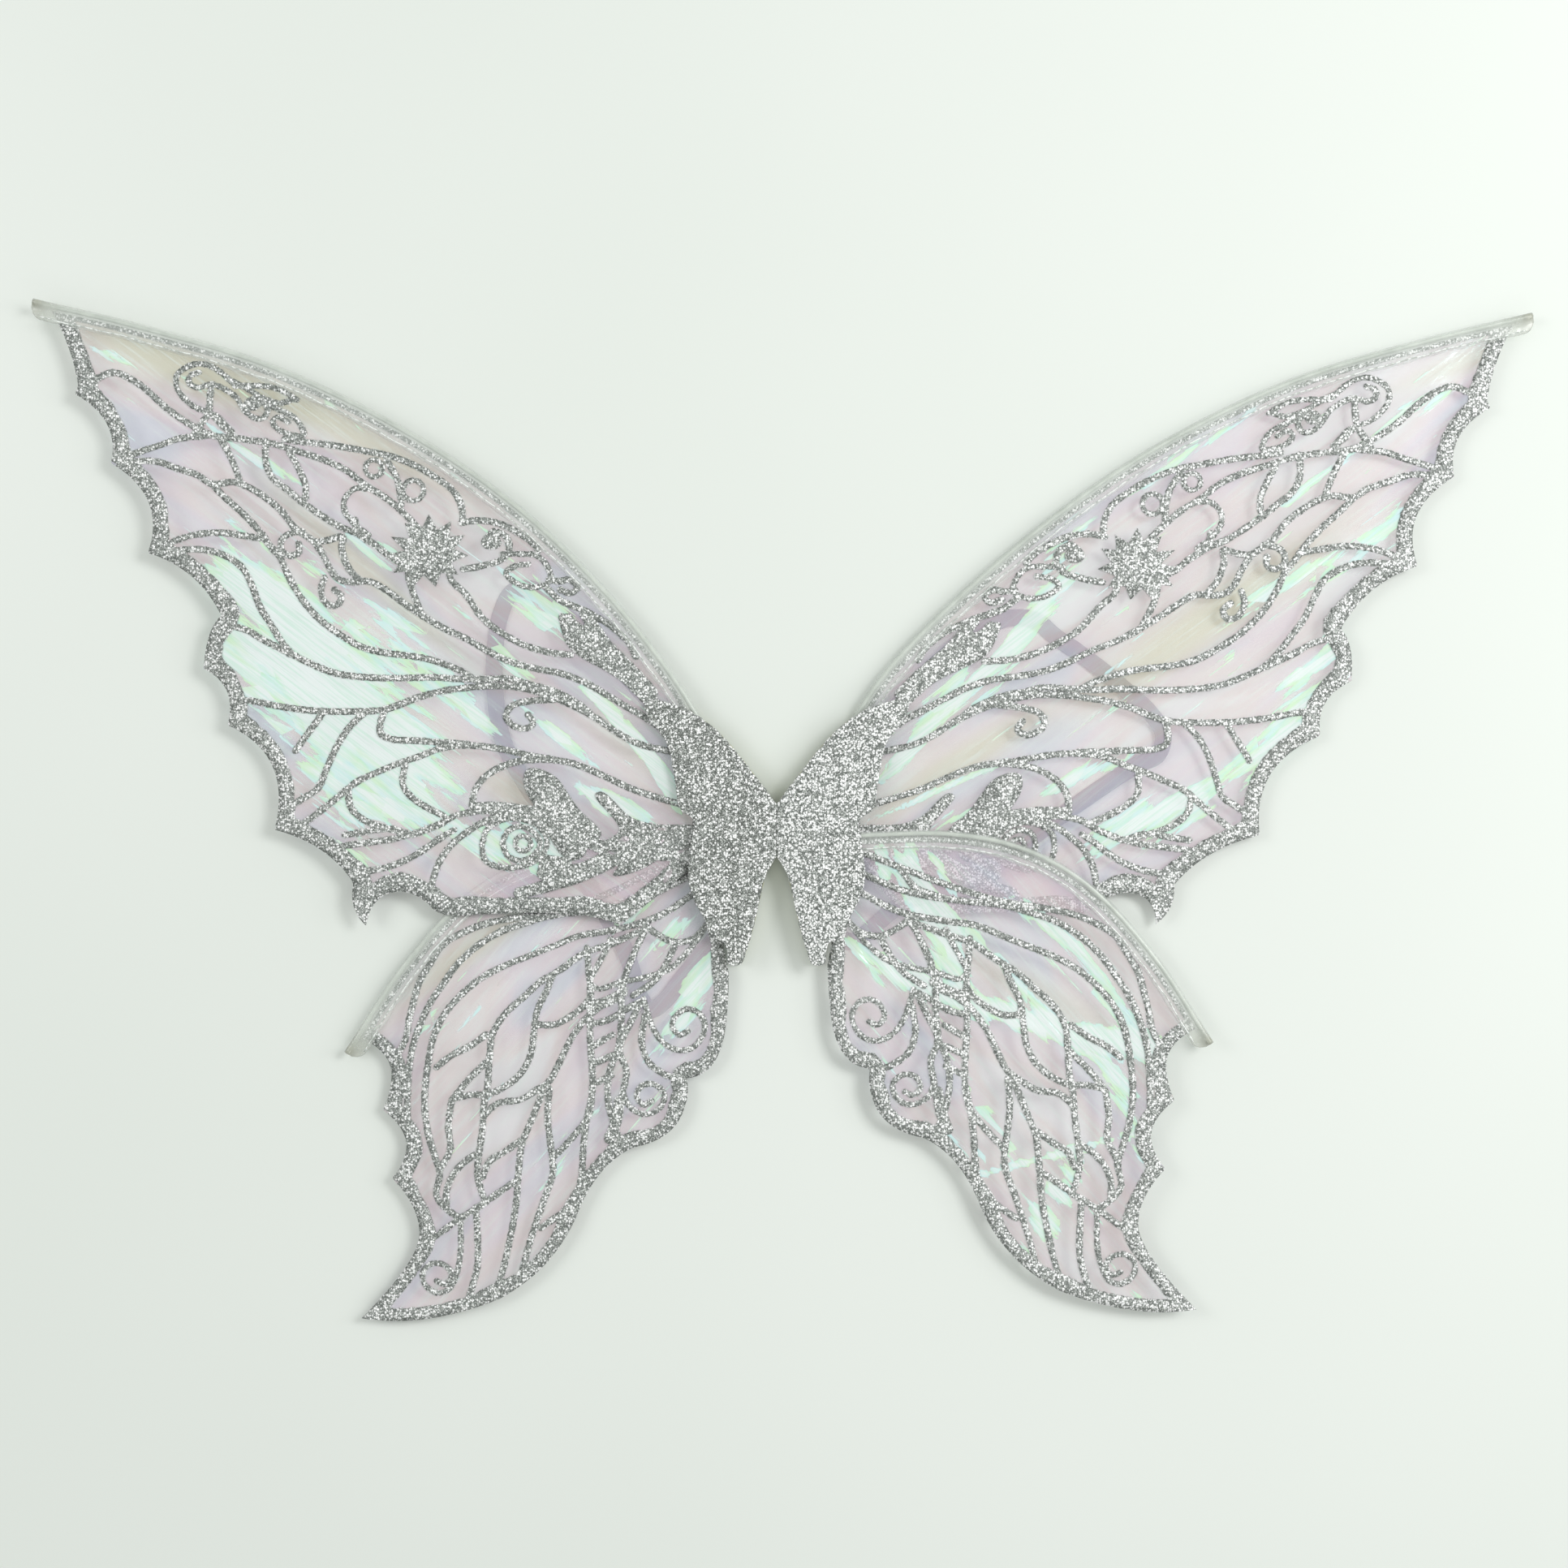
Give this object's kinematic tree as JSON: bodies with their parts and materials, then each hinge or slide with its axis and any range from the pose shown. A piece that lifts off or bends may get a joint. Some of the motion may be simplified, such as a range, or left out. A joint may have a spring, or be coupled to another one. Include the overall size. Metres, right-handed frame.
{
  "type": "fairy wings",
  "caption": "Costume fairy wings of iridescent film with glitter veins, clear edge sleeves, a folding glitter foam hub and elastic shoulder loops.",
  "frame": {"origin": "on the spine, on the back face of the hub, just under the notch between its upper lobes", "axes": "+X to the viewer's right across the span, +Y up towards the wing tips, +Z out of the front face, away from the wearer's back"},
  "size_m": [0.88, 0.5977, 0.0144],
  "materials": {
    "wing_film": "iridescent film",
    "wing_glitter": "silver glitter",
    "hub_glitter": "silver glitter foam",
    "hub_foam": "matt foam",
    "edge_sleeve": "clear vinyl",
    "rib_plastic": "smooth rod",
    "strap_elastic": "ribbed elastic",
    "strap_tab_felt": "felt"
  },
  "bodies": {
    "spine": {"spine_front_crease": "hub_glitter", "spine_core": "hub_foam", "spine_back_strip": "hub_foam"},
    "left_half": {"hub_front_left": "hub_glitter", "hub_core_left": "hub_foam", "hub_back_left": "hub_foam", "left_shoulder_strap": "strap_elastic", "left_strap_tab_upper": "strap_tab_felt", "left_strap_tab_lower": "strap_tab_felt"},
    "upper_left_wing": {"upper_left_film": "wing_film", "upper_left_glitter_lattice": "wing_glitter", "upper_left_edge_sleeve": "edge_sleeve", "upper_left_rib": "rib_plastic", "upper_left_rib_button": "rib_plastic"},
    "lower_left_wing": {"lower_left_film": "wing_film", "lower_left_glitter_lattice": "wing_glitter", "lower_left_edge_sleeve": "edge_sleeve", "lower_left_rib": "rib_plastic", "lower_left_rib_button": "rib_plastic"},
    "right_half": {"hub_front_right": "hub_glitter", "hub_core_right": "hub_foam", "hub_back_right": "hub_foam", "right_shoulder_strap": "strap_elastic", "right_strap_tab_upper": "strap_tab_felt", "right_strap_tab_lower": "strap_tab_felt"},
    "upper_right_wing": {"upper_right_film": "wing_film", "upper_right_glitter_lattice": "wing_glitter", "upper_right_edge_sleeve": "edge_sleeve", "upper_right_rib": "rib_plastic", "upper_right_rib_button": "rib_plastic"},
    "lower_right_wing": {"lower_right_film": "wing_film", "lower_right_glitter_lattice": "wing_glitter", "lower_right_edge_sleeve": "edge_sleeve", "lower_right_rib": "rib_plastic", "lower_right_rib_button": "rib_plastic"}
  },
  "joints": [
    {"name": "left_fold", "type": "hinge", "parent": "spine", "child": "left_half", "pos_m": [-0.0025, 0, 0.012], "axis": [0, 1, 0], "range_deg": [0, 85]},
    {"name": "upper_left_swing", "type": "hinge", "parent": "left_half", "child": "upper_left_wing", "pos_m": [-0.03, 0.027, 0.006], "axis": [0, 0, 1], "range_deg": [-4, 4]},
    {"name": "lower_left_swing", "type": "hinge", "parent": "left_half", "child": "lower_left_wing", "pos_m": [-0.026, -0.016, 0.006], "axis": [0, 0, 1], "range_deg": [-4, 4]},
    {"name": "right_fold", "type": "hinge", "parent": "spine", "child": "right_half", "pos_m": [0.0025, 0, 0.012], "axis": [0, -1, 0], "range_deg": [0, 85]},
    {"name": "upper_right_swing", "type": "hinge", "parent": "right_half", "child": "upper_right_wing", "pos_m": [0.03, 0.027, 0.006], "axis": [0, 0, 1], "range_deg": [-4, 4]},
    {"name": "lower_right_swing", "type": "hinge", "parent": "right_half", "child": "lower_right_wing", "pos_m": [0.026, -0.016, 0.006], "axis": [0, 0, 1], "range_deg": [-4, 4]}
  ]
}
